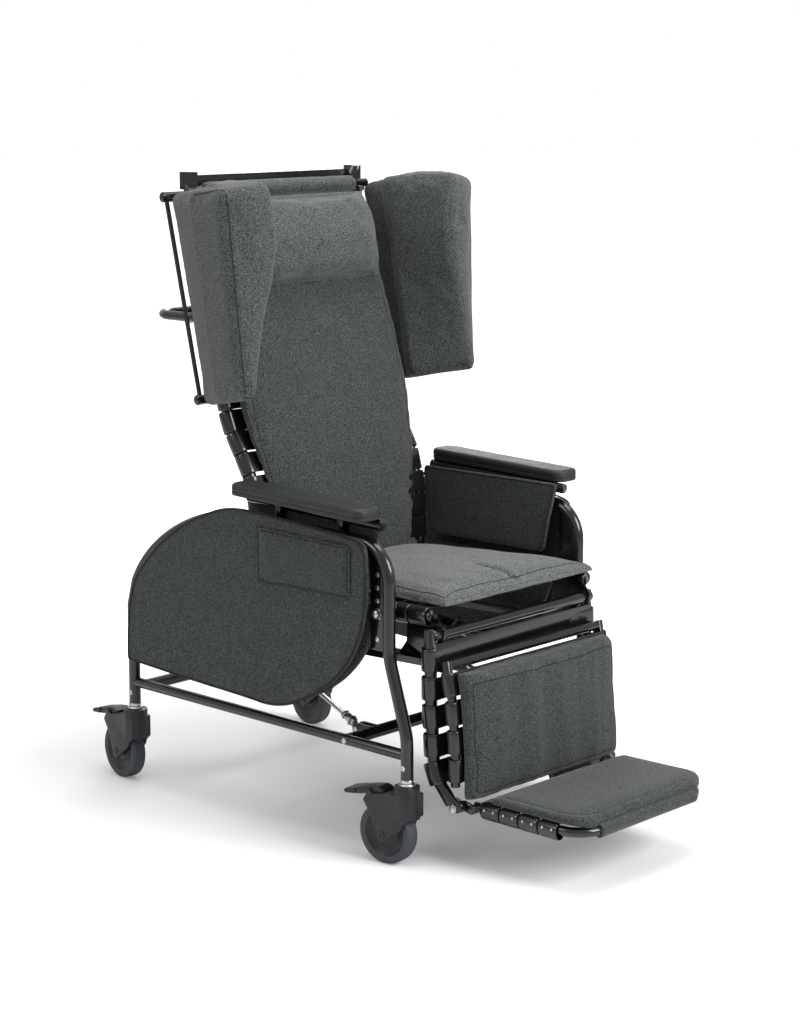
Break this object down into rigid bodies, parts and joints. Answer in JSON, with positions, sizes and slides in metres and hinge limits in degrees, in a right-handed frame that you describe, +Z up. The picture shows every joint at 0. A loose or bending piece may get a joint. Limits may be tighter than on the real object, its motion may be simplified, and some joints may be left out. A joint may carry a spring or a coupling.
{
  "type": "tilt in space wheelchair",
  "caption": "Tilt in space wheelchair with reclining winged back, fixed arms, raising legrest, footrest, strap seat, fabric side panels and braked swivel casters.",
  "frame": {"origin": "middle of the part's box in plan, at floor height", "axes": "+X to the sitter's left, +Y to the rear, +Z up"},
  "size_m": [0.7364, 1.341, 1.335],
  "materials": {
    "frame_paint": "gloss black powder coat",
    "upholstery": "charcoal heather weave",
    "strap_vinyl": "gloss black vinyl",
    "moulding": "satin black moulding",
    "wheel_tyre": "blue grey tread",
    "bright_rod": "polished",
    "cable_jacket": "light grey jacket"
  },
  "bodies": {
    "base": {"side_frame_right": "frame_paint", "side_frame_left": "frame_paint", "side_panel_right": "upholstery", "side_panel_left": "upholstery", "inner_side_panel_right": "upholstery", "inner_side_panel_left": "upholstery", "side_pocket_right": "upholstery", "front_cross_tube": "frame_paint", "rear_cross_tube": "frame_paint", "arm_frame_right": "frame_paint", "arm_frame_left": "frame_paint", "arm_pad_right": "moulding", "arm_pad_left": "moulding", "arm_panel_right": "upholstery", "arm_panel_left": "upholstery"},
    "seat": {"seat_side_right": "frame_paint", "seat_side_left": "frame_paint", "seat_front_cross": "frame_paint", "seat_rear_cross": "frame_paint", "seat_straps": "strap_vinyl", "seat_cushion": "upholstery", "release_cable": "cable_jacket"},
    "back": {"back_frame": "frame_paint", "back_straps": "strap_vinyl", "back_pad": "upholstery", "back_roll": "upholstery", "head_pillow": "upholstery", "back_top_bar": "frame_paint", "wing_rail": "frame_paint", "wing_pad_right": "upholstery", "wing_pad_left": "upholstery"},
    "legrest": {"legrest_frame": "frame_paint", "legrest_straps": "strap_vinyl", "calf_frame": "frame_paint", "calf_straps": "strap_vinyl", "calf_pad": "upholstery"},
    "footrest": {"footrest_frame": "frame_paint", "footrest_straps": "strap_vinyl", "footrest_pad": "upholstery", "footrest_sleeve": "upholstery"},
    "tilt_rod_right": {"tilt_spring_rod_right": "bright_rod"},
    "tilt_rod_left": {"tilt_spring_rod_left": "bright_rod"},
    "tilt_cylinder_right": {"tilt_spring_body_right": "frame_paint"},
    "tilt_cylinder_left": {"tilt_spring_body_left": "frame_paint"},
    "recline_cylinder": {"recline_spring_body": "frame_paint"},
    "recline_rod": {"recline_spring_rod": "bright_rod"},
    "lever": {"release_lever": "moulding"},
    "fork_front_right": {"caster_fork_front_right": "moulding"},
    "wheel_front_right": {"caster_wheel_front_right": "wheel_tyre"},
    "pedal_front_right": {"brake_pedal_front_right": "moulding"},
    "fork_front_left": {"caster_fork_front_left": "moulding"},
    "wheel_front_left": {"caster_wheel_front_left": "wheel_tyre"},
    "pedal_front_left": {"brake_pedal_front_left": "moulding"},
    "fork_rear_right": {"caster_fork_rear_right": "moulding"},
    "wheel_rear_right": {"caster_wheel_rear_right": "wheel_tyre"},
    "pedal_rear_right": {"brake_pedal_rear_right": "moulding"},
    "fork_rear_left": {"caster_fork_rear_left": "moulding"},
    "wheel_rear_left": {"caster_wheel_rear_left": "wheel_tyre"},
    "pedal_rear_left": {"brake_pedal_rear_left": "moulding"}
  },
  "joints": [
    {"name": "tilt", "type": "hinge", "parent": "base", "child": "seat", "pos_m": [0, -0.21298, 0.499], "axis": [-1, 0, 0], "range_deg": [0, 20]},
    {"name": "recline", "type": "hinge", "parent": "seat", "child": "back", "pos_m": [0, 0.17102, 0.505], "axis": [-1, 0, 0], "range_deg": [0, 32]},
    {"name": "legrest", "type": "hinge", "parent": "seat", "child": "legrest", "pos_m": [0, -0.31598, 0.463], "axis": [-1, 0, 0], "range_deg": [0, 75]},
    {"name": "footrest", "type": "hinge", "parent": "legrest", "child": "footrest", "pos_m": [0, -0.37598, 0.128], "axis": [-1, 0, 0], "range_deg": [-15, 12]},
    {"name": "tilt_spring_swing_right", "type": "hinge", "parent": "base", "child": "tilt_rod_right", "pos_m": [-0.211, -0.08598, 0.226], "axis": [-1, 0, 0], "range_deg": [0, 25.3]},
    {"name": "tilt_spring_slide_right", "type": "slide", "parent": "tilt_rod_right", "child": "tilt_cylinder_right", "axis": [0, -0.9131, -0.4077], "range_m": [0, 0.1001]},
    {"name": "tilt_spring_swing_left", "type": "hinge", "parent": "base", "child": "tilt_rod_left", "pos_m": [0.211, -0.08598, 0.226], "axis": [-1, 0, 0], "range_deg": [0, 25.3]},
    {"name": "tilt_spring_slide_left", "type": "slide", "parent": "tilt_rod_left", "child": "tilt_cylinder_left", "axis": [0, -0.9131, -0.4077], "range_m": [0, 0.1001]},
    {"name": "recline_spring_swing", "type": "hinge", "parent": "seat", "child": "recline_cylinder", "pos_m": [0, -0.21298, 0.409], "axis": [1, 0, 0], "range_deg": [0, 2.95]},
    {"name": "recline_spring_slide", "type": "slide", "parent": "recline_cylinder", "child": "recline_rod", "axis": [0, -0.9981, -0.0624], "range_m": [0, 0.0346]},
    {"name": "release_lever", "type": "hinge", "parent": "back", "child": "lever", "pos_m": [-0.06, 0.47102, 1.011], "axis": [0, 1, 0], "range_deg": [0, 5]},
    {"name": "swivel_front_right", "type": "hinge", "parent": "base", "child": "fork_front_right", "pos_m": [-0.29, -0.29098, 0.172], "axis": [0, 0, 1], "range_deg": [-80, 180]},
    {"name": "roll_front_right", "type": "hinge", "parent": "fork_front_right", "child": "wheel_front_right", "pos_m": [-0.29481, -0.24523, 0.0625], "axis": [0.9945, 0.1045, 0], "continuous": true},
    {"name": "brake_front_right", "type": "hinge", "parent": "fork_front_right", "child": "pedal_front_right", "pos_m": [-0.29836, -0.21142, 0.144], "axis": [-0.9945, -0.1045, 0], "range_deg": [0, 6]},
    {"name": "swivel_front_left", "type": "hinge", "parent": "base", "child": "fork_front_left", "pos_m": [0.29, -0.29098, 0.172], "axis": [0, 0, 1], "range_deg": [-180, 80]},
    {"name": "roll_front_left", "type": "hinge", "parent": "fork_front_left", "child": "wheel_front_left", "pos_m": [0.28519, -0.24523, 0.0625], "axis": [0.9945, 0.1045, 0], "continuous": true},
    {"name": "brake_front_left", "type": "hinge", "parent": "fork_front_left", "child": "pedal_front_left", "pos_m": [0.28164, -0.21142, 0.144], "axis": [-0.9945, -0.1045, 0], "range_deg": [0, 6]},
    {"name": "swivel_rear_right", "type": "hinge", "parent": "base", "child": "fork_rear_right", "pos_m": [-0.29, 0.52702, 0.172], "axis": [0, 0, 1], "continuous": true},
    {"name": "roll_rear_right", "type": "hinge", "parent": "fork_rear_right", "child": "wheel_rear_right", "pos_m": [-0.28439, 0.57268, 0.0625], "axis": [0.9925, -0.1219, 0], "continuous": true},
    {"name": "brake_rear_right", "type": "hinge", "parent": "fork_rear_right", "child": "pedal_rear_right", "pos_m": [-0.28025, 0.60642, 0.144], "axis": [-0.9925, 0.1219, 0], "range_deg": [0, 6]},
    {"name": "swivel_rear_left", "type": "hinge", "parent": "base", "child": "fork_rear_left", "pos_m": [0.29, 0.52702, 0.172], "axis": [0, 0, 1], "continuous": true},
    {"name": "roll_rear_left", "type": "hinge", "parent": "fork_rear_left", "child": "wheel_rear_left", "pos_m": [0.29561, 0.57268, 0.0625], "axis": [0.9925, -0.1219, 0], "continuous": true},
    {"name": "brake_rear_left", "type": "hinge", "parent": "fork_rear_left", "child": "pedal_rear_left", "pos_m": [0.29975, 0.60642, 0.144], "axis": [-0.9925, 0.1219, 0], "range_deg": [0, 6]}
  ],
  "couplings": [
    {"joint": "tilt_spring_swing_right", "follows": "tilt", "ratio": 1.2628},
    {"joint": "tilt_spring_slide_right", "follows": "tilt", "m_per_rad": 0.28662},
    {"joint": "tilt_spring_swing_left", "follows": "tilt", "ratio": 1.2628},
    {"joint": "tilt_spring_slide_left", "follows": "tilt", "m_per_rad": 0.28662},
    {"joint": "recline_spring_swing", "follows": "recline", "ratio": 0.0918},
    {"joint": "recline_spring_slide", "follows": "recline", "m_per_rad": 0.0619}
  ]
}
